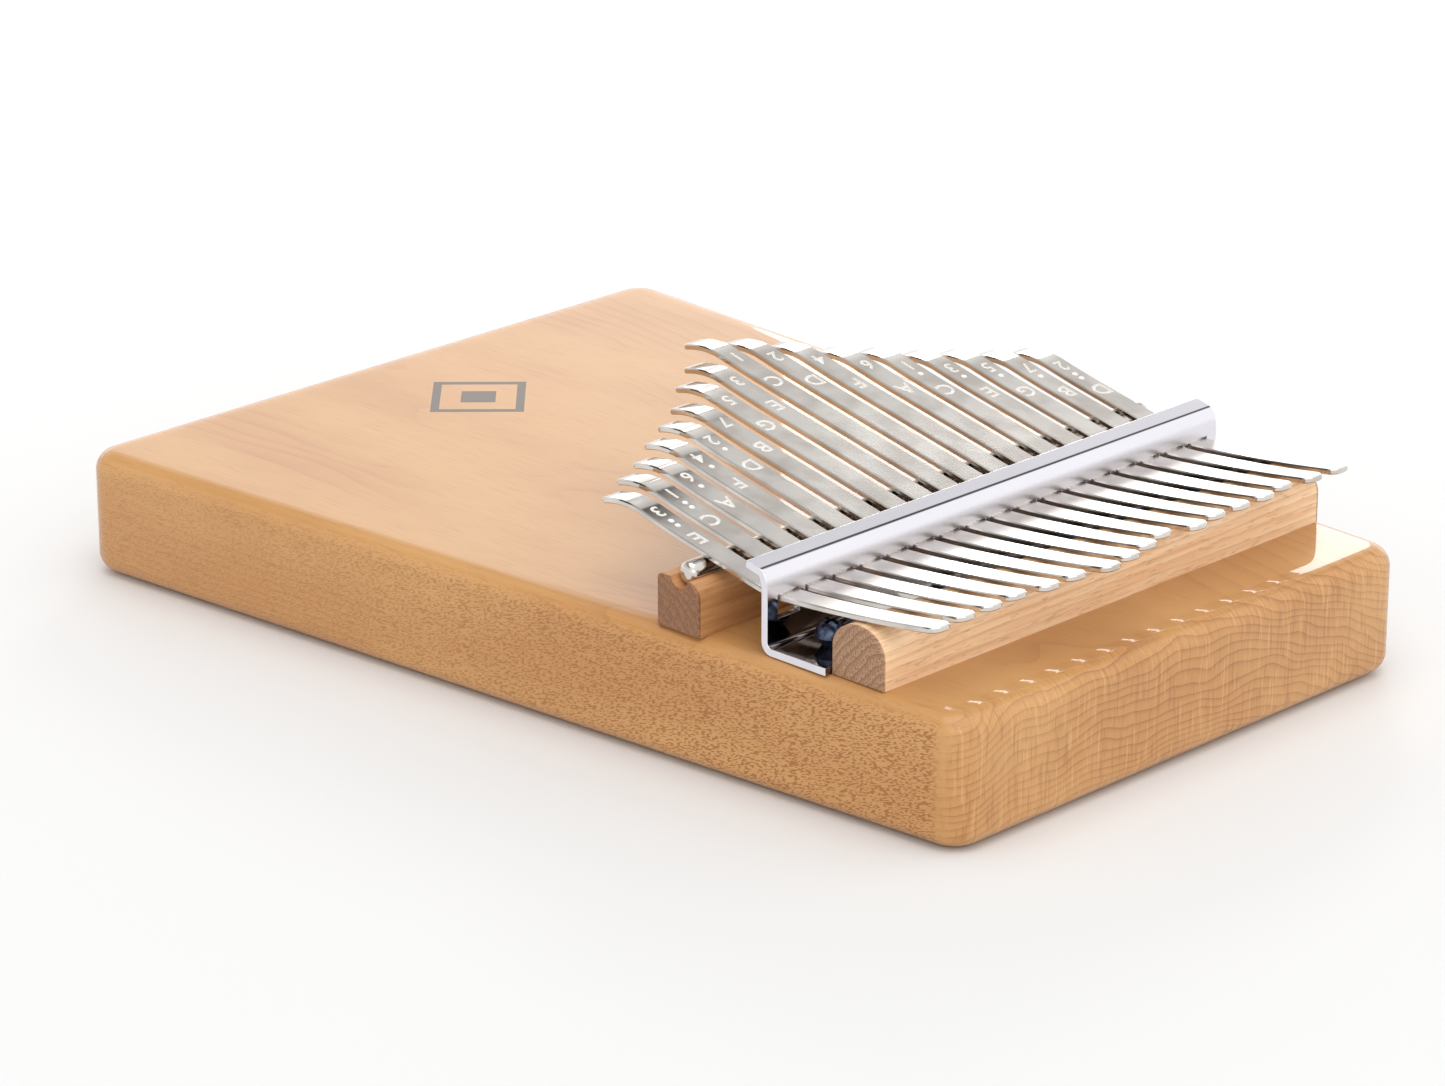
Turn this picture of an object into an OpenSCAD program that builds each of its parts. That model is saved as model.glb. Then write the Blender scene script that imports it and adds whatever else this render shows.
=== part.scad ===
// Seventeen-tine mbira on a solid hardwood board.
// Frame: origin under the middle of the board, +Z up, +Y from the tine tips towards the bridges,
// +X to the player's right. Millimetres.

/* [Board] */
// Length of the board, along the tines
board_l = 217; // [200:1:240]
// Width of the board at the end that the tine tips point to
board_w_tip = 153; // [140:0.5:170]
// Width of the board at the end behind the bridges
board_w_bridge = 123.5; // [123:0.5:150]
// Thickness of the board
board_t = 25; // [20:0.5:30]
// Radius of the rounded long edges, top and bottom
board_edge_r = 4; // [2:0.5:6]
// Radius of the four upright corners
board_corner_r = 6.5; // [6.5:0.5:12]

/* [Tines] */
// Distance between neighbouring tines
tine_pitch = 7; // [6.5:0.1:7.2]
// Width of one tine
tine_w = 4.9; // [4:0.1:5.2]
// Thickness of the spring steel
tine_t = 1.1; // [0.9:0.1:1.2]
// Height of the tines' top over the board, where the bracket presses them down
press_h = 10.5; // [10:0.1:11]
// Upward slope of the tines in front of the bracket, in degrees
front_slope = 12.5; // [11:0.5:13]
// Length from the rod to the tip of the longest tine
longest_tongue = 60.4; // [55:0.2:62]
// Gap between a tine and whatever it slides over
tine_gap = 0.3; // [0.27:0.01:0.35]

/* [Bracket] */
// Length of the bracket, across the tines
bracket_l = 123; // [122:0.5:124]
// Thickness of the bent sheet
sheet_t = 1.5; // [1.2:0.1:1.6]
// Height over the board at which the bracket's web has bent into its flange
bracket_h = 15.9; // [15.6:0.1:17]
// Distance from the board's middle to the back of the bracket's upright web
web_y = 63; // [62:0.5:64]
// Depth of the foot behind the web
foot_l = 14; // [13:0.5:15]
// Length of the top flange, from the bend to its lip
flange_l = 3.2; // [2.5:0.1:4]

/* [Bridges] */
// Distance from the board's middle to the rod
rod_y = 43.7; // [42:0.1:45]
// Diameter of the steel rod
rod_d = 4.4; // [4:0.1:5]
// Length of the rod
rod_l = 125; // [124:0.5:126]
// Length of the front bridge, across the tines
front_bridge_l = 128.8; // [127:0.2:130]
// Width of the front bridge, along the tines
front_bridge_w = 10.4; // [9.5:0.1:11]
// Length of the rear bridge, across the tines
rear_bridge_l = 120; // [119:0.5:121]
// Width of the rear bridge, along the tines
rear_bridge_w = 12.2; // [11:0.1:13]

/* [Screws] */
// Distance of the inner pair of screws from the middle
screw_x_inner = 17.5; // [15:0.5:20]
// Distance of the outer pair of screws from the middle
screw_x_outer = 52.5; // [50:0.5:54]
// Diameter of the domed screw heads
screw_head_d = 6; // [5.5:0.1:6.4]
// Height of the domed screw heads
screw_head_h = 4.8; // [4:0.1:5]
// Diameter of the screw shanks
screw_d = 3; // [2.5:0.1:3.5]
// Depth that the screws go into the board
screw_depth = 16; // [10:1:18]

/* [Hidden] */
// Semitones of each tine above the longest one, from the player's right to the left: a C major scale
// that starts at the middle and goes outwards, right and left by turns
semitones = [28, 24, 21, 17, 14, 11, 7, 4, 0, 2, 5, 9, 12, 16, 19, 23, 26];
tine_count = len(semitones);
mid_tine = (tine_count - 1) / 2;
// A tongue's length goes with one over the root of its pitch, less what the curled tip takes away
tip_loss = 2.6;
function tongue_l(i) = (longest_tongue + tip_loss) / pow(2, semitones[i] / 24) - tip_loss;
function tine_x(i) = (mid_tine - i) * tine_pitch;
// How far each tail ends beyond the common line, as tuning has left it
tail_extra = [1.5, 1, 1, 0.5, 2, 2, 4, 2.5, 0.5, -2, 0.5, -1, -1, -1, -2.5, -1, -0.5];
tail_end_y = 98.5;

// Side view of a tine, as the line of its top face: it is lowest under the web's slots, rises straight
// over the rod, then a little more steeply up to the curl at the tip, and rises behind in one long
// shallow bow over the rear bridge
press_y = web_y - sheet_t / 2;
press_z = board_t + press_h;
press_r = 25;
tail_slope = 2.8;
tail_r = 335;
lift_turn = 2.5;
lift_l = 12;
lift_r = lift_l / (lift_turn * PI / 180);
tip_slope = front_slope + lift_turn;
tip_r = 18;
tip_turn = 33.5;
// The point at signed angle a on the press bend, negative in front
function press_point(a) = [press_y + press_r * sin(a), press_z + press_r * (1 - cos(a))];
// The point that lies s in front of the press bend, along the straight stretch
function front_point(s) = press_point(-front_slope) + s * [-cos(front_slope), sin(front_slope)];
// The point at angle a along the tail's bow, counted from its start
function tail_point(a) = press_point(tail_slope)
    + tail_r * [sin(tail_slope + a) - sin(tail_slope), cos(tail_slope) - cos(tail_slope + a)];
// The point at angle a along the slight upward bow that starts s in front of the press bend
function lift_point(s, a) = front_point(s)
    + lift_r * [sin(front_slope) - sin(front_slope + a), cos(front_slope) - cos(front_slope + a)];
// The point at angle a round the curl at the tip, which ends that bow
function tip_point(s, a) = lift_point(s, lift_turn)
    + tip_r * [-sin(a - tip_slope) - sin(tip_slope), cos(a - tip_slope) - cos(tip_slope)];
// Height over the board that every tine stays under
tine_room = 40;
// Unit vector across the tine, upwards, where its top face slopes up towards +Y by a degrees
function across(a) = [-sin(a), cos(a)];

// Where the straight stretch passes the rod
rod_s = (press_point(-front_slope)[0] - rod_y) / cos(front_slope);
rod_top_z = front_point(rod_s)[1] - (tine_t + tine_gap) / cos(front_slope);
rod_z = rod_top_z - rod_d / 2;
rod_proud = 0.45;
front_bridge_h = rod_z - rod_proud - board_t;
// Where the bow passes the middle of the rear bridge
foot_clear = 0.1;
rear_bridge_y = web_y + foot_l + foot_clear + rear_bridge_w / 2;
ridge_a = asin((rear_bridge_y - press_point(tail_slope)[0]) / tail_r + sin(tail_slope)) - tail_slope;
rear_bridge_h = tail_point(ridge_a)[1] - (tine_t + tine_gap) / cos(tail_slope + ridge_a) - board_t;

// The tongue and the tail of a tine part over the rod, at the line where the tongue bends
split_gap = 0.3;
tongue_tip_r = 0.8;
tail_end_r = 2;

// Slots in the bracket's web, one for each tine
slot_w = 5.5;
slot_h = 4.5;
slot_top_z = press_z + tine_gap;
// The bend at the web's top: a wide part, then a tight part that ends where the flange rises to its lip
side_bend_r = 6;
side_turn = 30;
top_bend_r = 1.9;
flange_rise = 13;
foot_bend_r = 2.4;

screw_y = web_y + foot_l / 2;
screw_xs = [-screw_x_outer, -screw_x_inner, screw_x_inner, screw_x_outer];
screw_point_l = 3;
screw_play = 0.05;
foot_hole_d = screw_d + 0.5;
rod_play = 0.05;
rod_chamfer = 0.4;

maple = [0.86, 0.70, 0.50];
beech = [0.74, 0.54, 0.36];
chrome = [0.80, 0.80, 0.82];
steel = [0.70, 0.71, 0.74];
blued = [0.16, 0.20, 0.27];

function two_digits(n) = n < 10 ? str("0", n) : str(n);
function tongue_name(i) = str("tine_", two_digits(i + 1), "_tongue");
function tail_name(i) = str("tine_", two_digits(i + 1), "_tail");
TONGUES = [for (i = [0:tine_count - 1]) tongue_name(i)];
TAILS = [for (i = [0:tine_count - 1]) tail_name(i)];
BASE = ["board", "front_bridge", "bridge_rod", "rear_bridge", "bracket", "bracket_screws"];

// Turns a drawing in Y and Z into a bar of length l across the object, centred on X = 0
module bar(l)
    rotate([90, 0, 90])
        linear_extrude(height = l, center = true)
            children();

// One upright corner of the board: a disc with its rim rounded at the top and at the bottom
module board_corner()
    for (z = [board_edge_r, board_t - board_edge_r])
        translate([0, 0, z])
            rotate_extrude($fn = 32)
                intersection() {
                    union() {
                        translate([board_corner_r - board_edge_r, 0])
                            circle(r = board_edge_r, $fn = 32);
                        translate([0, -board_edge_r])
                            square([board_corner_r - board_edge_r, 2 * board_edge_r]);
                    }
                    translate([0, -board_edge_r])
                        square([board_corner_r, 2 * board_edge_r]);
                }

// The solid board: a tapered plank with all its edges rounded, drilled for the bracket's screws
module board()
    color(maple)
        difference() {
            hull()
                for (side = [-1, 1]) {
                    translate([side * (board_w_tip / 2 - board_corner_r), board_corner_r - board_l / 2, 0])
                        board_corner();
                    translate([side * (board_w_bridge / 2 - board_corner_r), board_l / 2 - board_corner_r, 0])
                        board_corner();
                }
            for (x = screw_xs)
                translate([x, screw_y, board_t - screw_depth - 1])
                    cylinder(d = screw_d + 2 * screw_play, h = screw_depth + 2, $fn = 48);
        }

// The front bridge: a wooden bar with a rounded back edge and a groove along its top for the rod
module front_bridge() {
    back_r = 2.8;
    front_r = 0.8;
    half = front_bridge_w / 2;
    color(beech)
        bar(front_bridge_l)
            translate([rod_y, board_t])
                difference() {
                    union() {
                        translate([-half, 0])
                            square([front_bridge_w, front_bridge_h - back_r]);
                        translate([front_r - half, 0])
                            square([front_bridge_w - front_r - back_r, front_bridge_h]);
                        translate([-half, 0])
                            square([front_r, front_bridge_h - front_r]);
                        translate([front_r - half, front_bridge_h - front_r])
                            circle(r = front_r, $fn = 32);
                        translate([half - back_r, front_bridge_h - back_r])
                            circle(r = back_r, $fn = 48);
                    }
                    translate([0, rod_z - board_t])
                        circle(r = rod_d / 2 + rod_play, $fn = 64);
                }
}

// The steel rod that the tines bear on, with small chamfers at its ends
module bridge_rod() {
    body_l = rod_l - 2 * rod_chamfer;
    color(steel)
        translate([-rod_l / 2, rod_y, rod_z])
            rotate([0, 90, 0])
                rotate_extrude($fn = 64)
                    polygon([
                        [0, 0], [rod_d / 2 - rod_chamfer, 0], [rod_d / 2, rod_chamfer],
                        [rod_d / 2, rod_chamfer + body_l], [rod_d / 2 - rod_chamfer, rod_l], [0, rod_l]
                    ]);
}

// The rear bridge: a wooden bar whose top is rounded from side to side
module rear_bridge() {
    crown_h = 5;
    steps = 24;
    half = rear_bridge_w / 2;
    color(beech)
        bar(rear_bridge_l)
            translate([rear_bridge_y, board_t])
                polygon(concat(
                    [[half, 0]],
                    [for (k = [0:steps])
                        [half * cos(k * 180 / steps), rear_bridge_h - crown_h + crown_h * sin(k * 180 / steps)]],
                    [[-half, 0]]
                ));
}

// Points of an arc about c from angle a0 to a1, each with the unit vector across it; side is -1 where
// that vector points to the arc's centre
function arc_line(c, r, a0, a1, side) = [
    for (k = [0:12])
        let(a = a0 + k * (a1 - a0) / 12, u = [cos(a), sin(a)])
            [c + r * u, side * u]
];

// Side view of the bracket: foot to the back, upright web, top flange to the front
module bracket_profile() {
    half_t = sheet_t / 2;
    turn = 90 - flange_rise;
    foot_c = [web_y - sheet_t + foot_bend_r, board_t + foot_bend_r];
    web_top = board_t + bracket_h - top_bend_r * sin(turn) - (side_bend_r - top_bend_r) * sin(side_turn);
    side_c = [web_y - side_bend_r, web_top];
    top_c = side_c + (side_bend_r - top_bend_r) * [cos(side_turn), sin(side_turn)];
    bend_end = top_c + (top_bend_r - half_t) * [cos(turn), sin(turn)];
    lip = bend_end + flange_l * [-sin(turn), cos(turn)];
    line = concat(
        [[[web_y + foot_l, board_t + half_t], [0, -1]]],
        arc_line(foot_c, foot_bend_r - half_t, -90, -180, 1),
        arc_line(side_c, side_bend_r - half_t, 0, side_turn, -1),
        arc_line(top_c, top_bend_r - half_t, side_turn, turn, -1),
        [[lip, [-cos(turn), -sin(turn)]]]
    );
    last = len(line) - 1;
    polygon(concat(
        [for (p = line) p[0] + half_t * p[1]],
        [for (k = [last:-1:0]) line[k][0] - half_t * line[k][1]]
    ));
}

// The bent sheet bracket, with a slot in its web for each tine and holes in its foot for the screws
module bracket()
    color(chrome)
        difference() {
            bar(bracket_l)
                bracket_profile();
            for (i = [0:tine_count - 1])
                translate([tine_x(i) - slot_w / 2, web_y - sheet_t - 1, slot_top_z - slot_h])
                    cube([slot_w, sheet_t + 2, slot_h]);
            for (x = screw_xs)
                translate([x, screw_y, board_t - 1])
                    cylinder(d = foot_hole_d, h = sheet_t + 2, $fn = 48);
        }

// One wood screw with an oval head and a cross recess, standing on the hole's edge at z = 0: the head is
// a cone below its rim and a dome above
module screw() {
    recess_l = 3;
    recess_w = 0.8;
    recess_depth = 1.6;
    cone_h = 1.9;
    seat_d = foot_hole_d - 0.3;
    point_d = 0.4;
    dome_h = screw_head_h - cone_h;
    dome_r = (pow(screw_head_d / 2, 2) + pow(dome_h, 2)) / (2 * dome_h);
    shank_l = screw_depth + sheet_t;
    difference() {
        union() {
            cylinder(d1 = seat_d, d2 = screw_head_d, h = cone_h, $fn = 64);
            intersection() {
                translate([0, 0, screw_head_h - dome_r])
                    sphere(r = dome_r, $fn = 64);
                translate([0, 0, cone_h])
                    cylinder(d = screw_head_d, h = screw_head_h, $fn = 64);
            }
            translate([0, 0, screw_point_l - shank_l])
                cylinder(d = screw_d, h = shank_l - screw_point_l, $fn = 48);
            translate([0, 0, -shank_l])
                cylinder(d1 = point_d, d2 = screw_d, h = screw_point_l, $fn = 48);
        }
        for (a = [0, 90])
            rotate([0, 0, a])
                translate([-recess_l / 2, -recess_w / 2, screw_head_h - recess_depth])
                    cube([recess_l, recess_w, recess_depth + 1]);
    }
}

// The wood screws that hold the bracket's foot down
module bracket_screws()
    color(blued)
        for (x = screw_xs)
            translate([x, screw_y, board_t + sheet_t])
                screw();

// A strip of spring steel whose side view is the list of top points, each with its slope in degrees
module strip(points, slopes) {
    last = len(points) - 1;
    polygon(concat(
        points,
        [for (k = [last:-1:0]) points[k] - tine_t * across(slopes[k])]
    ));
}

// A rectangle seen from above, from y0 to y1, with the corners at y1's side rounded to r
module blank(y0, y1, r) {
    s = sign(y1 - y0);
    for (x = [r - tine_w / 2, tine_w / 2 - r])
        translate([x, y1 - s * r])
            circle(r = r, $fn = 32);
    translate([r - tine_w / 2, min(y0, y1)])
        square([tine_w - 2 * r, abs(y1 - y0)]);
    translate([-tine_w / 2, min(y0, y1 - s * r)])
        square([tine_w, abs(y1 - y0) - r]);
}

// The free end of tine i: from the rod up to the tip, where it curls down
module tine_tongue(i) {
    steps = 8;
    lift_steps = 3;
    curl_l = tip_r * tip_turn * PI / 180;
    straight_end = rod_s + tongue_l(i) / cos(front_slope) - lift_l - curl_l;
    end_y = tip_point(straight_end, tip_turn)[0];
    lifts = [for (k = [0:lift_steps - 1]) k * lift_turn / lift_steps];
    turns = [for (k = [0:steps]) k * tip_turn / steps];
    points = concat(
        [front_point(rod_s + split_gap / 2)],
        [for (a = lifts) lift_point(straight_end, a)],
        [for (a = turns) tip_point(straight_end, a)]
    );
    slopes = concat([-front_slope], [for (a = lifts) -front_slope - a], [for (a = turns) a - tip_slope]);
    color(steel)
        translate([tine_x(i), 0, 0])
            intersection() {
                bar(tine_w)
                    strip(points, slopes);
                translate([0, 0, board_t])
                    linear_extrude(height = tine_room)
                        blank(rod_y, end_y, tongue_tip_r);
            }
}

// The clamped end of tine i: from the rod, down under the bracket's web and up over the rear bridge
module tine_tail(i) {
    steps = 6;
    end_y = tail_end_y + tail_extra[i];
    bow = asin((end_y - press_point(tail_slope)[0]) / tail_r + sin(tail_slope)) - tail_slope;
    presses = [for (k = [0:steps]) -front_slope + k * (front_slope + tail_slope) / steps];
    bows = [for (k = [1:steps]) k * bow / steps];
    points = concat(
        [front_point(rod_s - split_gap / 2)],
        [for (a = presses) press_point(a)],
        [for (a = bows) tail_point(a)]
    );
    slopes = concat([-front_slope], presses, [for (a = bows) tail_slope + a]);
    color(steel)
        translate([tine_x(i), 0, 0])
            intersection() {
                bar(tine_w)
                    strip(points, slopes);
                translate([0, 0, board_t])
                    linear_extrude(height = tine_room)
                        blank(rod_y - 1, end_y, tail_end_r);
            }
}

board();
front_bridge();
bridge_rod();
rear_bridge();
bracket();
bracket_screws();
for (i = [0:tine_count - 1]) tine_tongue(i);
for (i = [0:tine_count - 1]) tine_tail(i);
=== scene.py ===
"""A seventeen-tine mbira on a solid maple board: its looks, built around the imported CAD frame."""

import bmesh
import bpy
import numpy as np
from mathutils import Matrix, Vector


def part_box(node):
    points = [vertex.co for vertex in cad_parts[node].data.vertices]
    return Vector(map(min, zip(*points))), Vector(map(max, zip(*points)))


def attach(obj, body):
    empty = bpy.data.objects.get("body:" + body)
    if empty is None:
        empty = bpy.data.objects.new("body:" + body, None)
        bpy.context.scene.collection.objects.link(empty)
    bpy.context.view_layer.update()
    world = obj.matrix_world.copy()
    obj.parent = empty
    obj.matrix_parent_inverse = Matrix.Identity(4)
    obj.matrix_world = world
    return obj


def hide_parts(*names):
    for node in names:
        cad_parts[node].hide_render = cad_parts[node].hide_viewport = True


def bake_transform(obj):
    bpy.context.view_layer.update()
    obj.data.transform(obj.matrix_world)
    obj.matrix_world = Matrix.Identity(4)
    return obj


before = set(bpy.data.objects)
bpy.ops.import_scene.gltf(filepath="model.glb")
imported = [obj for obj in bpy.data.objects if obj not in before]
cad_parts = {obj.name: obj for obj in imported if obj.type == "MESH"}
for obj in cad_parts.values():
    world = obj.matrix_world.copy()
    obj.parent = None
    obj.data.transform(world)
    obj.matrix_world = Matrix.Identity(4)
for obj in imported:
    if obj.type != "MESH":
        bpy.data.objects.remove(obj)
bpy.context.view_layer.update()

# ---------------------------------------------------------------------------
# The camera stands a metre off on the side of the bridges' right-hand ends and looks down over them
# towards the tips of the tines with a long lens.
# ---------------------------------------------------------------------------
VIEW = Vector((0.6684, 0.6565, 0.3496)).normalized()
AIM = Vector((-0.002104, -0.010433, 0.010))
DISTANCE = 1.01624
FILM_WIDTH, FOCAL_LENGTH = 36, 130.64

camera = bpy.data.objects.new("camera", bpy.data.cameras.new("camera"))
camera.data.sensor_width = FILM_WIDTH
camera.data.lens = FOCAL_LENGTH
camera.location = AIM + DISTANCE * VIEW
camera.rotation_mode = "QUATERNION"
camera.rotation_quaternion = (-VIEW).to_track_quat("-Z", "Y")
bpy.context.scene.collection.objects.link(camera)
bpy.context.scene.camera = camera


# ---------------------------------------------------------------------------
# The board: one solid plank of flat-sawn maple, sawn to a taper, its corners and edges rounded over,
# sanded and sprayed with a clear gloss lacquer. A plain diamond is printed under the lacquer.
# ---------------------------------------------------------------------------
class Shade:
    """A socket in the material being made. Sums on shades, or on a shade and a number, add Math nodes."""

    def __init__(self, tree, socket):
        self.tree, self.socket = tree, socket

    def node(self, kind, settings=None, sockets=None, out=0):
        """Any other node: its settings first, a ramp's stops among them, then its sockets."""
        made = self.tree.nodes.new("ShaderNode" + kind)
        for name, value in (settings or {}).items():
            if name == "stops":
                ramp = made.color_ramp.elements
                ramp.remove(ramp[1])
                ramp[0].position, ramp[0].color = value[0]
                for place, colour in value[1:]:
                    ramp.new(place).color = colour
            else:
                setattr(made, name, value)
        for name, value in (sockets or {}).items():
            if isinstance(value, Shade):
                self.tree.links.new(value.socket, made.inputs[name])
            else:
                made.inputs[name].default_value = value
        return Shade(self.tree, made.outputs[out])

    def math(self, operation, *values):
        """A Math node of the given operation on the values, which may be shades or numbers."""
        return self.node("Math", {"operation": operation}, dict(enumerate(values)))

    def __add__(self, other):
        return self.math("ADD", self, other)

    def __sub__(self, other):
        return self.math("SUBTRACT", self, other)

    def __rsub__(self, other):
        return self.math("SUBTRACT", other, self)

    def __mul__(self, other):
        return self.math("MULTIPLY", self, other)

    def __truediv__(self, other):
        return self.math("DIVIDE", self, other)

    def __pow__(self, other):
        return self.math("POWER", self, other)

    __radd__, __rmul__ = __add__, __mul__

    def step(self, low, high):
        """0 at low and 1 at high, smooth between and constant beyond. Low may be the greater of the two."""
        ends = {"Value": self, "From Min": low, "From Max": high}
        return self.node("MapRange", {"interpolation_type": "SMOOTHSTEP"}, ends)

    def stretch(self, x, y, z):
        """This point with each axis scaled: the number of cells of a pattern in a millimetre."""
        return self.node("VectorMath", {"operation": "MULTIPLY"}, {0: self, 1: (x, y, z)})

    def noise(self, detail=2.0):
        """Cloudy values round a half, one cloud to a unit."""
        return self.node("TexNoise", {}, {"Vector": self, "Scale": 1.0, "Detail": detail})

    def mix(self, low, high):
        """The colour low where this shade is 0 and high where it is 1."""
        return self.node("Mix", {"data_type": "RGBA"}, {0: self, 6: low, 7: high}, out=2)

    def bump(self, distance, strength=1.0):
        """A normal bent by this shade as a height, with distance in metres."""
        return self.node("Bump", {}, {"Height": self, "Distance": distance, "Strength": strength})


def tint(red, green, blue):
    """A colour given as it is seen, 0 to 255 a channel, as the linear light that a shader takes."""
    seen = np.array((red, green, blue)) / 255
    return (*np.where(seen < 0.04045, seen / 12.92, ((seen + 0.055) / 1.055) ** 2.4).tolist(), 1.0)


def finish(name, **constants):
    """A new material: its shader node, with the constants set, and the surface point in millimetres."""
    material = bpy.data.materials.new(name)
    material.use_nodes = True
    shader = material.node_tree.nodes["Principled BSDF"]
    for socket, value in constants.items():
        shader.inputs[socket.replace("_", " ")].default_value = value
    point = Shade(material.node_tree, None).node("TexCoord", out=3).stretch(1000, 1000, 1000)
    return material, shader, point


def wire(shader, **shades):
    """Links what changes over a surface to the shader's sockets."""
    for socket, shade in shades.items():
        shade.tree.links.new(shade.socket, shader.inputs[socket.replace("_", " ")])


def outline(half, ends, radius, between, steps=8):
    """A strip seen from above, with half widths half[0] and half[1] at y = ends[0] and ends[1] and corners of
    radius[0] and radius[1]: round a corner the point is its centre plus the radius times (cos a, sin a), and
    the straight side joins the two arcs where they have the same tangent, with points at the y values
    between. Right side up, left side down. Returns the points and the unit vectors outwards."""
    first = np.array((half[0] - radius[0], ends[0] + radius[0]))
    second = np.array((half[1] - radius[1], ends[1] - radius[1]))
    run = second - first
    lean = np.arctan2(run[1], run[0]) - np.arccos((radius[0] - radius[1]) / np.hypot(*run))
    turns = [np.linspace(-np.pi / 2, lean, steps), np.full(len(between), lean),
             np.linspace(lean, np.pi / 2, steps)]
    out = [np.stack([np.cos(a), np.sin(a)], -1) for a in turns]
    low, high = first + radius[0] * out[0], second + radius[1] * out[2]
    share = ((np.asarray(between) - low[-1, 1]) / (high[0, 1] - low[-1, 1]))[:, None]
    side = np.concatenate([low, low[-1] + share * (high[0] - low[-1]), high])
    out = np.concatenate(out)
    mirror = np.array((-1, 1))
    return np.concatenate([side, side[::-1] * mirror]), np.concatenate([out, out[::-1] * mirror])


def slab(points, outward, insets, heights):
    """A closed solid of rings: ring k is the outline moved in along its outward vectors by insets[k], at
    heights[k]. The end rings are closed by a ladder of faces between the outline's two sides."""
    rings = points - np.asarray(insets, float)[:, None, None] * outward
    lift = np.broadcast_to(np.asarray(heights, float)[:, None, None], (*rings.shape[:2], 1))
    count, i = len(points), np.arange(len(points))
    start = count * np.arange(len(heights) - 1)[:, None]
    after = (i + 1) % count
    walls = np.stack([start + i, start + after, start + count + after, start + count + i], -1).reshape(-1, 4)
    k = np.arange(count // 2 - 1)
    rungs = np.stack([k, k + 1, count - 2 - k, count - 1 - k], -1)
    faces = np.concatenate([walls, start[-1, 0] + count + rungs, rungs[:, ::-1]])
    return np.concatenate([rings, lift], -1).reshape(-1, 3), faces


def piece(name, points, faces, *materials, sharp=30):
    """A shown object of points in millimetres, smooth but for edges that turn by over sharp degrees."""
    mesh = bpy.data.meshes.new(name)
    mesh.from_pydata((np.asarray(points) / 1000).tolist(), [], [list(f) for f in faces])
    for material in materials:
        mesh.materials.append(material)
    mesh.shade_smooth()
    mesh.set_sharp_from_angle(angle=np.radians(sharp))
    made = bpy.data.objects.new(name, mesh)
    bpy.context.scene.collection.objects.link(made)
    return made


BOARD_EDGE, BOARD_CORNER, BRIDGE_HALF = 4.0, 6.5, 61.75
SANDED_FROM, SANDED_FALL = 6.4, 0.009
low, high = (np.array(corner) * 1000 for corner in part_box("board"))
# Before the edge turns over, sanding has let the faces fall a little: by SANDED_FALL times the square of
# the distance outwards from SANDED_FROM inside the outline
sanded = np.linspace(SANDED_FROM + 0.05, BOARD_EDGE + 0.1, 6)
fall = SANDED_FALL * (SANDED_FROM - sanded[1:]) ** 2
quarter = np.linspace(0.05, np.pi / 2, 11)
rim_in = np.concatenate([sanded, BOARD_EDGE * (1 - np.sin(quarter))])
rim_up = np.concatenate([[0], fall, fall[-1] + (BOARD_EDGE - fall[-1]) * (1 - np.cos(quarter))])
insets = np.concatenate([rim_in, rim_in[::-1]])
heights = np.concatenate([low[2] + rim_up, high[2] - rim_up[::-1]])

maple, shader, point = finish(
    "maple_lacquered", Specular_IOR_Level=0.2, Coat_Weight=0.6, Coat_Roughness=0.03, Coat_IOR=1.5)
across, along, up = (point.node("SeparateXYZ", {}, {0: point}, out=k) for k in range(3))
# Growth rings round a pith far under the plank, leaning a little and wavering as they go
PITH_X, PITH_Z, RING_WIDTH = 14, -150, 1.6
waver = point.stretch(0.03, 0.009, 0.05).noise(2) * 13 + point.stretch(0.16, 0.02, 0.25).noise(2) * 0.8
pith = (across - PITH_X) * (across - PITH_X) + (up - PITH_Z) * (up - PITH_Z)
ring = (pith ** 0.5 + along * 0.05 + waver) / RING_WIDTH
late = ring.math("FRACT", ring) ** 4
cloud = point.stretch(0.035, 0.012, 0.05).noise(3)
fibre = point.stretch(3.2, 0.11, 3.2).noise(3)
# Short dark flecks on the long sides, climbing a little, and fine upright rays on the ends
flank = up.step(high[2] - 0.4, high[2] - 3.5) * along.step(high[1] - 4, high[1] - 6.5)
flank = flank * along.step(low[1] + 2, low[1] + 4.5)
climb = point.node("CombineXYZ", {}, {0: across * 1.4, 1: along * 1.2, 2: (up - along * 0.22) * 3.7})
fleck = climb.noise(0).step(0.51, 0.61) * (0.35 + 0.65 * along.step(-90, 80))
end_face = along.math("ABSOLUTE", along).step(high[1] - 5, high[1] - 1.5)
ray = point.stretch(1.9, 0.3, 0.13).noise(2)
wood = cloud.step(0.3, 0.7).mix(tint(204, 154, 97), tint(193, 140, 84))
wood = (late * (0.24 * cloud.step(0.4, 0.62) + 0.42 * end_face)).mix(wood, tint(146, 84, 44))
wood = (fibre.step(0.5, 0.8) * 0.5).mix(wood, tint(176, 122, 70))
wood = (fleck * flank * 0.8).mix(wood, tint(152, 94, 40))
wood = (ray.step(0.56, 0.7) * end_face * 0.4).mix(wood, tint(222, 172, 122))
wood = (ray.step(0.44, 0.34) * end_face * 0.4).mix(wood, tint(158, 104, 62))
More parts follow.
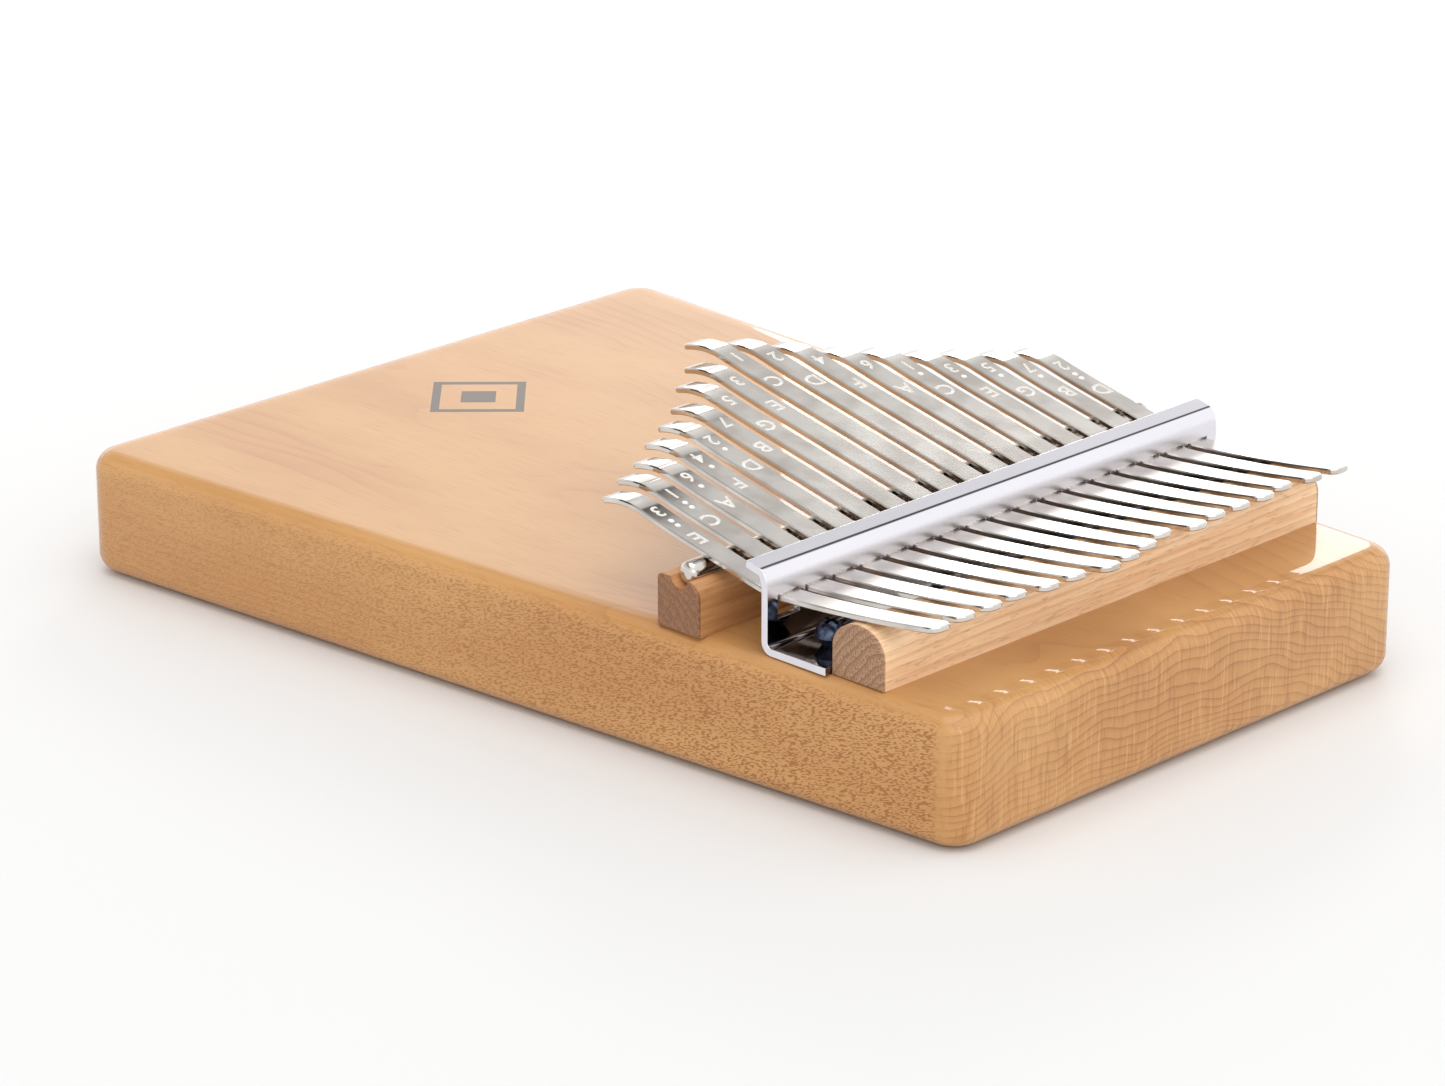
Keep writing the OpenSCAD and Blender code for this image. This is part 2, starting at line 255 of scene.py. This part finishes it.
# The printed mark: a small solid diamond in a diamond outline
MARK_X, MARK_Y, MARK_REACH, MARK_LINE, MARK_MIDDLE, MARK_BLUR = 1.0, -76.0, 12, 1.15, 4.85, 0.15
from_x, from_y = across - MARK_X, along - MARK_Y
reach = from_x.math("ABSOLUTE", from_x) + from_y.math("ABSOLUTE", from_y)
rim = (reach - MARK_REACH).math("ABSOLUTE", reach - MARK_REACH).step(MARK_LINE + MARK_BLUR, MARK_LINE)
middle = reach.step(MARK_MIDDLE + MARK_BLUR, MARK_MIDDLE)
mark = rim.math("MAXIMUM", rim, middle) * up.step(high[2] - 1, high[2] - 0.4)
wood = (mark * 0.9).mix(wood, tint(58, 52, 46))
wire(shader, Base_Color=wood, Roughness=0.38 + 0.12 * fibre)

plan, outwards = outline(
    (high[0], BRIDGE_HALF), (low[1], high[1]), (BOARD_CORNER, BOARD_CORNER), [0.0], steps=12)
board = piece("board_plank", *slab(plan, outwards, insets, heights), maple)
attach(board, "body")
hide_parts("board")


# ---------------------------------------------------------------------------
# The front bridge: a bar of beech, rounded over at the back, with a groove ploughed along
# its top for the rod. It is glued down on the lacquer. Its colours are darker than the rear
# bridge's: painted shade for its place under the tines.
# ---------------------------------------------------------------------------
def bar(profile, ends, chamfer):
    """A profile of (y, z) points, right-hand way round, carried along X from ends[0] to ends[1]. Its first
    and last rings are drawn in by the chamfer along the corner's mitre, which is the sum of the two edges'
    outward vectors over one plus their dot product. The end faces are single faces."""
    edge = np.roll(profile, -1, 0) - profile
    out = np.stack([edge[:, 1], -edge[:, 0]], -1) / np.hypot(*edge.T)[:, None]
    before = np.roll(out, 1, 0)
    mitre = (out + before) / (1 + (out * before).sum(1, keepdims=True))
    points, faces = slab(profile, mitre, [chamfer, 0, 0, chamfer], [
        ends[0], ends[0] + chamfer, ends[1] - chamfer, ends[1]])
    count = len(profile)
    walls = faces[: 3 * count].tolist()
    caps = [list(range(count))[::-1], list(range(3 * count, 4 * count))]
    return np.roll(points, 1, 1), walls + caps


def arc(centre, radius, start, stop, steps):
    """Points at the radius from the centre, from the start angle to the stop angle in degrees."""
    a = np.radians(np.linspace(start, stop, steps))
    return np.stack([centre[0] + radius * np.cos(a), centre[1] + radius * np.sin(a)], -1)


def beech_finish(name, ring_y, ring_z, ends_at, pale, tan, end_grain):
    """Beech with its grain along X, between the colours pale and tan: rings round (ring_y, ring_z), short
    dark pores, and end grain of its own colour from ends_at millimetres out."""
    material, shader, point = finish(name, Roughness=0.5, Coat_Weight=0.25, Coat_Roughness=0.25)
    x, y, z = (point.node("SeparateXYZ", {}, {0: point}, out=k) for k in range(3))
    reach = ((y - ring_y) * (y - ring_y) + (z - ring_z) * (z - ring_z)) ** 0.5
    ring = reach + point.stretch(0.02, 0.2, 0.2).noise(2) * 2.2
    late = ring.math("FRACT", ring * 0.62) ** 3
    pore = point.stretch(0.35, 3.6, 3.6).noise(1).step(0.6, 0.7)
    streak = point.stretch(0.05, 0.9, 0.9).noise(3).step(0.3, 0.7)
    wood = streak.mix(tint(*pale), tint(*tan))
    wood = (late * 0.3).mix(wood, tint(180, 120, 78))
    wood = (pore * 0.3).mix(wood, tint(150, 98, 62))
    ends = x.math("ABSOLUTE", x).step(ends_at - 0.6, ends_at)
    wood = (ends * 0.8).mix(wood, tint(*end_grain))
    speck = point.stretch(0.4, 3.4, 2.0).noise(1).step(0.52, 0.6)
    wood = (ends * late.math("MAXIMUM", late, speck) * 0.6).mix(wood, tint(92, 58, 36))
    wire(shader, Base_Color=wood, Normal=pore.bump(0.00004, 0.3))
    return material


low, high = (np.array(corner) * 1000 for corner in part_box("front_bridge"))
rod_low, rod_high = (np.array(corner) * 1000 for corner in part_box("bridge_rod"))
ROD_Y, ROD_Z = (rod_low[1:] + rod_high[1:]) / 2
ROD_R = (rod_high[2] - rod_low[2]) / 2
BACK_R, FRONT_R, GROOVE_EASE, CHAMFER = 2.8, 0.8, 0.05, 0.25
groove = ROD_R + GROOVE_EASE
dip = np.degrees(np.arcsin((high[2] - ROD_Z) / groove))
profile = np.concatenate([
    [[low[1], low[2]], [high[1], low[2]]],
    arc((high[1] - BACK_R, high[2] - BACK_R), BACK_R, 0, 90, 12),
    arc((ROD_Y, ROD_Z), groove, dip, -180 - dip, 25),
    arc((low[1] + FRONT_R, high[2] - FRONT_R), FRONT_R, 90, 180, 6),
])
# Darker colours than the rear bridge's beech: painted shade
shaded_front_beech = beech_finish(
    "beech_front_shaded", ring_y=ROD_Y - 9, ring_z=19, ends_at=high[0] - 0.2,
    pale=(204, 150, 98), tan=(180, 124, 76), end_grain=(132, 86, 52))
front_bridge = piece("front_bridge_bar", *bar(profile, (low[0], high[0]), CHAMFER), shaded_front_beech)
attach(front_bridge, "body")
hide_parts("front_bridge")

# ---------------------------------------------------------------------------
# The bridge rod: a length of plated steel rod with rounded ends, lying in the front bridge's groove.
# The tines bear on it, and it ends a little inside the bridge.
# ---------------------------------------------------------------------------
def steel_finish(name, roughness, grain, rubbed=0.0, middle_tip=-16.7, tips_slope=0.62):
    """Plated steel: a mirror with a faint haze, finer across the piece than along it, and hazier by rubbed
    from where the tines' marks end on to a little behind the bracket."""
    material, shader, point = finish(name, Metallic=1.0)
    x, y = (point.node("SeparateXYZ", {}, {0: point}, out=k) for k in range(2))
    # How far a point lies behind the V that the tips make, roughly
    from_tip = y - middle_tip - tips_slope * x.math("ABSOLUTE", x)
    haze = point.stretch(*grain).noise(3)
    stain = point.stretch(0.12, 0.12, 0.12).noise(2)
    metal = stain.step(0.35, 0.7).mix(tint(222, 217, 211), tint(200, 193, 186))
    before_bracket = from_tip.step(22, 44) * y.step(64, 60)
    behind_bracket = y.step(61, 63) * y.step(80, 71)
    wear = rubbed * (before_bracket + 1.3 * behind_bracket)
    wire(shader, Base_Color=metal, Roughness=roughness * (0.6 + 0.8 * haze) + wear,
         Normal=haze.bump(0.000004, 0.25))
    return material


angle = np.linspace(0, 2 * np.pi, 56, endpoint=False)
circle = np.stack([np.cos(angle), np.sin(angle)], -1)
# Each end is rounded with a radius of ROD_END, from a small flat in its middle out to the full rod
ROD_END = 1.5
turn = np.radians(np.linspace(12, 90, 8))
drawn_in, from_end = ROD_END * (1 - np.sin(turn)), ROD_END * (1 - np.cos(turn))
points, faces = slab(
    circle * ROD_R, circle, np.concatenate([drawn_in, drawn_in[::-1]]),
    np.concatenate([rod_low[0] + from_end, rod_high[0] - from_end[::-1]]))
rod = piece("bridge_rod_bar", np.roll(points, 1, 1) + (0, ROD_Y, ROD_Z), faces,
            steel_finish("rod_steel", 0.16, (0.4, 1.5, 1.5)))
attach(rod, "body")
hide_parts("bridge_rod")

# ---------------------------------------------------------------------------
# The rear bridge: a bar of paler beech with its top planed and sanded to a rounded crown, glued
# down against the bracket's foot. The tines' tails pass over its crown.
# ---------------------------------------------------------------------------
low, high = (np.array(corner) * 1000 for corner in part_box("rear_bridge"))
CROWN = 5.0
half = (high[1] - low[1]) / 2
rear_y = (high[1] + low[1]) / 2
angle = np.linspace(0, np.pi, 41)
crown = np.stack([rear_y + half * np.cos(angle), high[2] - CROWN + CROWN * np.sin(angle)], -1)
profile = np.concatenate([[[low[1], low[2]], [high[1], low[2]]], crown])
rear_beech = beech_finish(
    "beech_rear", ring_y=rear_y + 14, ring_z=16, ends_at=high[0] - 0.2,
    pale=(255, 220, 178), tan=(243, 198, 152), end_grain=(146, 102, 70))
rear_bridge = piece("rear_bridge_bar", *bar(profile, (low[0], high[0]), CHAMFER), rear_beech)
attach(rear_bridge, "body")
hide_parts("rear_bridge")

# ---------------------------------------------------------------------------
# The bracket: one strip of sheet steel, slotted for the tines, bent at its foot and its top, and chromed.
# Its foot is screwed down between the bridges, its web holds the tines down and its flange turns forwards.
# ---------------------------------------------------------------------------
low, high = (np.array(corner) * 1000 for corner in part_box("bracket"))
SHEET, WEB_BACK, FOOT_BEND = 1.5, 63.0, 2.4
# The top bends in two turns with their radii outside: a wide one to SIDE_TURN degrees and then a tight
# one to TOP_TURN, which ends at the height BEND_TOP, where the straight flange begins
SIDE_BEND, SIDE_TURN, TOP_BEND, TOP_TURN, BEND_TOP, FLANGE = 6.0, 30, 1.9, 77, 40.9, 3.2
SLOT_WIDTH, SLOT_HEIGHT, PITCH, PRESS_Z, GAP, TINES = 5.5, 4.5, 7.0, 35.5, 0.3, 17
mid_y = WEB_BACK - SHEET / 2
foot_centre = (WEB_BACK - SHEET + FOOT_BEND, low[2] + FOOT_BEND)
side_out, top_out = (np.array((np.cos(a), np.sin(a))) for a in np.radians((SIDE_TURN, TOP_TURN)))
web_top = BEND_TOP - TOP_BEND * top_out[1] - (SIDE_BEND - TOP_BEND) * side_out[1]
side_centre = np.array((WEB_BACK - SIDE_BEND, web_top))
top_centre = side_centre + (SIDE_BEND - TOP_BEND) * side_out
bend_end = top_centre + (TOP_BEND - SHEET / 2) * top_out
slot_top = PRESS_Z + GAP
path = np.concatenate([
    [[high[1], low[2] + SHEET / 2], [foot_centre[0] + 0.2, low[2] + SHEET / 2]],
    arc(foot_centre, FOOT_BEND - SHEET / 2, -90, -180, 12),
    [[mid_y, foot_centre[1] + 0.2], [mid_y, slot_top - SLOT_HEIGHT], [mid_y, slot_top]],
    arc(side_centre, SIDE_BEND - SHEET / 2, 0, SIDE_TURN, 10),
    arc(top_centre, TOP_BEND - SHEET / 2, SIDE_TURN, TOP_TURN, 16)[1:],
    bend_end + np.array((0.2, FLANGE - 0.03))[:, None] * (-top_out[1], top_out[0]),
])
centres = PITCH * (np.arange(TINES) - TINES // 2)
slot_sides = centres[:, None] + np.array((-1, 1)) * SLOT_WIDTH / 2
columns = np.concatenate([[low[0]], slot_sides.ravel(), [high[0]]])
grid = np.stack([np.repeat(columns[None], len(path), 0),
                 np.repeat(path[:, :1], len(columns), 1), np.repeat(path[:, 1:], len(columns), 1)], -1)
row, column = np.mgrid[: len(path) - 1, : len(columns) - 1]
at_slots = np.isclose(path[row, 1], slot_top - SLOT_HEIGHT) & np.isclose(path[row, 0], mid_y)
in_slot = (column % 2 == 1) & at_slots
row, column = row[~in_slot], column[~in_slot]
row_starts = np.stack([row, row, row + 1, row + 1], -1) * len(columns)
faces = row_starts + np.stack([column, column + 1, column + 1, column], -1)

chrome, shader, point = finish("chrome", Metallic=1.0)
across, up = (point.node("SeparateXYZ", {}, {0: point}, out=k) for k in (0, 2))
haze = point.stretch(0.5, 0.5, 0.5).noise(3)
drift = point.stretch(0.03, 0.3, 0.3).noise(2)
# The polishing wheel has left the bend softer above the slots. Low between web and foot, short of
# the ends, the chrome's colour is darkened to a dull brown: painted shade in the recess
soft = up.step(slot_top - 1.3, slot_top + 0.2) * up.step(BEND_TOP - 0.7, BEND_TOP - 2.9)
between_ends = across.math("ABSOLUTE", across).step(high[0] - 0.05, high[0] - 0.3)
painted_recess_shade = up.step(slot_top - 1.3, slot_top - 4.8) * between_ends
chromed = drift.mix(tint(236, 234, 240), tint(226, 224, 231))
# Painted shade: the base colour darkens to a dull brown low between web and foot
wire(shader, Base_Color=(painted_recess_shade * 0.8).mix(chromed, tint(112, 100, 94)),
     Roughness=0.035 + 0.05 * haze + 0.28 * soft, Normal=drift.bump(0.00003, 0.2))


def finished(made, **modifiers):
    """The piece with its modifiers, given as type and settings, worked into its mesh."""
    for kind, settings in modifiers.items():
        added = made.modifiers.new(kind, kind)
        for name, value in settings.items():
            setattr(added, name, value)
    ready = bpy.data.meshes.new_from_object(made.evaluated_get(bpy.context.evaluated_depsgraph_get()))
    made.modifiers.clear()
    made.data = ready
    return made


bracket = finished(
    piece("bracket_sheet", grid.reshape(-1, 3), faces, chrome),
    SOLIDIFY={"thickness": SHEET / 1000, "offset": 0.0, "use_even_offset": True},
    BEVEL={"width": 0.00016, "segments": 2, "limit_method": "ANGLE", "angle_limit": np.radians(50),
           "harden_normals": True},
)
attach(bracket, "body")
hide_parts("bracket")

# ---------------------------------------------------------------------------
# The bracket screws: blued steel wood screws with oval heads and cross recesses, driven through the
# bracket's foot. The heads stand on the edges of their holes, a cone below and a dome above.
# ---------------------------------------------------------------------------
HEAD_R, CONE_H, HEAD_H, NECK_R = 3.0, 1.9, 4.8, 1.6
SHANK_R, SHANK_L, POINT_R, POINT_L = 1.5, 14.5, 0.2, 3.0
CROSS_REACH, CROSS_HALF, CROSS_DEPTH = 1.5, 0.4, 1.6
SCREW_PLACES, SCREW_Y = (-52.5, -17.5, 17.5, 52.5), 70.0
foot_top = low[2] + SHEET
blued, shader, point = finish("screw_blued", Metallic=1.0)
bloom = point.stretch(0.8, 0.8, 0.8).noise(3)
wire(shader, Base_Color=bloom.step(0.3, 0.7).mix(tint(52, 60, 80), tint(96, 106, 128)),
     Roughness=0.26 + 0.1 * bloom)
# The turned outline from the point up: shank, neck, cone, and a dome cut from a ball of radius HEAD_R
turn = np.radians(np.linspace(4, 84, 14))
radii = np.concatenate([[POINT_R, SHANK_R, SHANK_R, NECK_R, HEAD_R], HEAD_R * np.cos(turn)])
heights = np.concatenate([
    [-SHANK_L - POINT_L, -SHANK_L, -0.02, 0, CONE_H], HEAD_H - HEAD_R + HEAD_R * np.sin(turn)])
# The cross recess is cut with two boxes at right angles, from CROSS_DEPTH under the dome's top upwards
corners = np.array([(x, y, z) for z in (0, 1) for x, y in ((-1, -1), (1, -1), (1, 1), (-1, 1))])
arm = corners * (CROSS_REACH, CROSS_HALF, CROSS_DEPTH + 1) + (0, 0, HEAD_H - CROSS_DEPTH)
cross = np.concatenate([arm, arm[:, [1, 0, 2]] * (1, -1, 1)])
sides = [[0, 3, 2, 1], [4, 5, 6, 7], [0, 1, 5, 4], [1, 2, 6, 5], [2, 3, 7, 6], [3, 0, 4, 7]]
cross_faces = sides + [[corner + 8 for corner in face] for face in sides]
for number, x in enumerate(SCREW_PLACES, 1):
    place = np.array((x, SCREW_Y, foot_top))
    points, faces = slab(circle * HEAD_R, circle, HEAD_R - radii, heights)
    screw = piece(f"bracket_screw_{number}", points + place, faces, blued)
    driver = piece("driver", cross + place, cross_faces)
    finished(screw, BOOLEAN={"operation": "DIFFERENCE", "solver": "EXACT", "use_self": True, "object": driver})
    bpy.data.objects.remove(driver)
    screw.data.set_sharp_from_angle(angle=np.radians(30))
    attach(screw, "body")
    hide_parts("bracket_screws")

# ---------------------------------------------------------------------------
# The tines: seventeen strips of spring steel with chamfered edges, curled down at the tip, stamped
# with their note and plated. Each is pushed through its slot, under its top edge, and bears on the
# rod and the rear bridge.
# ---------------------------------------------------------------------------
THICK, EDGE, TIP_CORNER, TAIL_CORNER = 1.1, 0.22, 0.8, 2.0
PRESS_Y, PRESS_R, FRONT, TAIL, TAIL_R, TIP_R = 62.25, 25.0, np.radians(12.5), np.radians(2.8), 335.0, 18.0
STEEP, LIFT_R = np.radians(15.0), 12 / np.radians(2.5)
TIP_SINE = np.sin(np.radians(18.5))
# The punch marks' heights and how far from the tip they stand
NUMBER_SIZE, NUMBER_AT, NAME_SIZE, NAME_AT = 3.3, 12.2, 3.7, 22.2
DOT_R, DOTS_AT, DOT_STEP, LETTER_RISE = 0.62, 15.6, 1.7, 0.02
NOTES = ["3 2 E", "1 2 C", "6 1 A", "4 1 F", "2 1 D", "7 0 B", "5 0 G", "3 0 E", "1 0 C",
         "2 0 D", "4 0 F", "6 0 A", "1 1 C", "3 1 E", "5 1 G", "7 1 B", "2 2 D"]


def top_line(y, tip):
    """Height of a tine's top face and its slope at y, for the tip's y: a bow of radius TAIL_R behind the
    press bend of radius PRESS_R, a straight at the angle FRONT before it, a bow of radius LIFT_R up to the
    angle STEEP and a curl of radius TIP_R at the tip. On an arc the sine of the slope goes with the distance
    along Y over the radius, and the height with the difference of the slopes' cosines times the radius."""
    bow_y, bow_z = PRESS_Y + PRESS_R * np.sin(TAIL), PRESS_Z + PRESS_R * (1 - np.cos(TAIL))
    fall_y, fall_z = PRESS_Y - PRESS_R * np.sin(FRONT), PRESS_Z + PRESS_R * (1 - np.cos(FRONT))
    curl_y = tip + TIP_R * (TIP_SINE + np.sin(STEEP))
    lift_y = curl_y + LIFT_R * (np.sin(STEEP) - np.sin(FRONT))
    lift_z = fall_z + (fall_y - lift_y) * np.tan(FRONT)
    curl_z = lift_z + LIFT_R * (np.cos(FRONT) - np.cos(STEEP))
    bow = np.arcsin(np.clip((y - bow_y) / TAIL_R + np.sin(TAIL), -1, 1))
    press = np.arcsin(np.clip((y - PRESS_Y) / PRESS_R, -1, 1))
    lift = np.arcsin(np.clip((y - lift_y) / LIFT_R - np.sin(FRONT), -1, 1))
    curl = np.arcsin(np.clip((curl_y - y) / TIP_R - np.sin(STEEP), -1, 1))
    where = [y > bow_y, y > fall_y, y > lift_y, y > curl_y]
    slope = np.select(where, [bow, press, -FRONT, lift], curl)
    height = np.select(where, [
        bow_z + TAIL_R * (np.cos(TAIL) - np.cos(bow)), PRESS_Z + PRESS_R * (1 - np.cos(press)),
        fall_z + (fall_y - y) * np.tan(FRONT), lift_z + LIFT_R * (np.cos(FRONT) - np.cos(lift)),
    ], curl_z + TIP_R * (np.cos(curl) - np.cos(STEEP)))
    return height, slope


def on_tine(flat, x, tip):
    """Flat points (across, along, height over the top face) laid on a tine: each moves up from its place on
    the top line by its height, square to the slope there."""
    height, slope = top_line(flat[:, 1], tip)
    y, z = flat[:, 1] - flat[:, 2] * np.sin(slope), height + flat[:, 2] * np.cos(slope)
    return np.stack([x + flat[:, 0], y, z], -1)


def letter(text):
    """A character's solid as points and faces, centred and one unit tall."""
    curve = bpy.data.curves.new("letter", "FONT")
    curve.body, curve.extrude, curve.offset, curve.resolution_u = text, 0.05, 0.02, 3
    shape = bpy.data.objects.new("letter", curve)
    bpy.context.scene.collection.objects.link(shape)
    mesh = bpy.data.meshes.new_from_object(shape.evaluated_get(bpy.context.evaluated_depsgraph_get()))
    bpy.data.objects.remove(shape)
    work = bmesh.new()
    work.from_mesh(mesh)
    bmesh.ops.remove_doubles(work, verts=work.verts, dist=0.0005)
    bmesh.ops.recalc_face_normals(work, faces=work.faces)
    points = np.array([v.co for v in work.verts])
    faces = [[v.index for v in f.verts] for f in work.faces]
    work.free()
    middle = (points.max(0) + points.min(0)) / 2
    return (points - middle) / np.ptp(points[:, 1]), faces


LETTERS = {text: letter(text) for text in "1234567ABCDEFG"}
DOT = slab(circle[::4] * DOT_R, circle[::4], [0.3, 0, 0], [-0.25, 0.0, 0.3])


def stamp(note, tip):
    """The punch marks of one tine in flat points: its number, a dot or two for the octave, and its letter."""
    number, octave, name = note.split()
    parts = [(LETTERS[number], NUMBER_SIZE, NUMBER_AT), (LETTERS[name], NAME_SIZE, NAME_AT)]
    parts += [(DOT, 1, DOTS_AT + DOT_STEP * k) for k in range(int(octave))]
    points, faces, count = [], [], 0
    for (shape, loops), size, place in parts:
        points.append(shape * size + (0, tip + place, LETTER_RISE * size))
        faces += [[count + i for i in loop] for loop in loops]
        count += len(shape)
    return np.concatenate(points), faces


tine_steel = steel_finish("tine_steel", 0.07, (2.6, 0.25, 0.5), 0.2)
stamped, shader, point = finish("tine_stamped", Metallic=1.0)
grit = point.stretch(4, 4, 4).noise(2)
wire(shader, Base_Color=grit.mix(tint(255, 253, 250), tint(236, 233, 228)), Roughness=0.5 + 0.15 * grit)

for number, note in enumerate(NOTES, 1):
    tongue, tail = (f"tine_{number:02d}_{end}" for end in ("tongue", "tail"))
    (tongue_low, tongue_high), (_, tail_high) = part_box(tongue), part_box(tail)
    x = (tongue_low.x + tongue_high.x) * 500
    half = (tongue_high.x - tongue_low.x) * 500
    tip, tail_end = tongue_low.y * 1000, tail_high.y * 1000 - 0.15
    # Places along the tine, close together on the curl and on the press bend
    stations = np.concatenate([np.arange(tip + 1.0, tip + 11, 0.55), np.arange(tip + 11.5, 55.5, 3.0),
                               np.arange(56.5, 64, 0.7), np.arange(64.6, tail_end - 2.5, 3.0)])
    flat, faces = slab(*outline((half, half), (tip, tail_end), (TIP_CORNER, TAIL_CORNER), stations),
                       [EDGE, 0, 0, EDGE], [-THICK, EDGE - THICK, -EDGE, 0])
    tine = piece(f"tine_{number:02d}", on_tine(flat, x, tip), faces, tine_steel)
    marks, loops = stamp(note, tip)
    punch = piece("punch", on_tine(marks, x, tip), loops, stamped)
    finished(tine, BOOLEAN={"operation": "DIFFERENCE", "solver": "EXACT", "use_self": True,
                            "material_mode": "TRANSFER", "object": punch})
    bpy.data.objects.remove(punch)
    tine.data.set_sharp_from_angle(angle=np.radians(30))
    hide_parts(tongue, tail)
    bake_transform(tine)

# ---------------------------------------------------------------------------
# The studio: a pale floor, soft light from above, low bright panels behind and a pale room, with
# darker bands on one side of it for the bright metal and the lacquer to show their shape against.
# ---------------------------------------------------------------------------
paper, shader, point = finish("floor_paper", Roughness=0.7)
mottle = point.stretch(0.002, 0.002, 0.002).noise(1)
wire(shader, Base_Color=mottle.mix(tint(227, 227, 226), tint(232, 232, 232)))
FLOOR_R, FLOOR_Z = 5000, -0.2
rim = np.append(circle * FLOOR_R, np.full((len(circle), 1), FLOOR_Z), 1)
floor = piece("floor", rim, [range(len(circle))], paper)

room = bpy.data.worlds.new("room")
bpy.context.scene.world = room
room.use_nodes = True
sky = Shade(room.node_tree, None).node("TexCoord", out=0)
rise = sky.node("SeparateXYZ", {}, {0: sky}, out=2)
north = sky.node("SeparateXYZ", {}, {0: sky}, out=1).step(-0.1, 0.12)
# How bright the banded side is by how high a direction points, from 0 for level to 1 for straight up
GREYS = [(0.0, 1.0), (0.25, 1.0), (0.33, 0.5), (0.4, 0.6), (0.5, 0.9), (0.585, 0.72), (0.612, 0.7),
         (0.626, 0.1), (0.72, 0.08), (0.745, 0.5), (1.0, 0.8)]
ROOM_LIGHT = 1.15
glow = rise.node("ValToRGB", {"stops": [(place, (grey, grey, grey, 1)) for place, grey in GREYS]}, {0: rise})
glow = north.mix(glow, (1, 1, 1, 1))
room.node_tree.links.new(glow.socket, room.node_tree.nodes["Background"].inputs["Color"])
room.node_tree.nodes["Background"].inputs["Strength"].default_value = ROOM_LIGHT


def panel(name, place, aim, size, power):
    """A soft rectangular light at a place in metres, facing a point."""
    light = bpy.data.lights.new(name, "AREA")
    light.shape, light.size, light.size_y, light.energy = "RECTANGLE", size[0], size[1], power
    made = bpy.data.objects.new(name, light)
    made.location = place
    made.rotation_mode = "QUATERNION"
    made.rotation_quaternion = (Vector(aim) - Vector(place)).to_track_quat("-Z", "Y")
    bpy.context.scene.collection.objects.link(made)


panel("panel_behind", (-0.95, -0.95, 0.36), (0, 0, 0.03), (2.2, 0.5), 2.8)
panel("panel_far", (-0.92, -0.668, 0.445), (0, 0.09, 0.03), (0.3, 0.3), 1.3)
panel("panel_above", (0.2, 0.1, 1.7), (0, 0, 0), (1.5, 1.5), 9)
panel("panel_front", (1.3, 1.5, 0.9), (0, 0, 0.02), (1.4, 0.9), 3)
bpy.context.scene.view_settings.view_transform = "Standard"
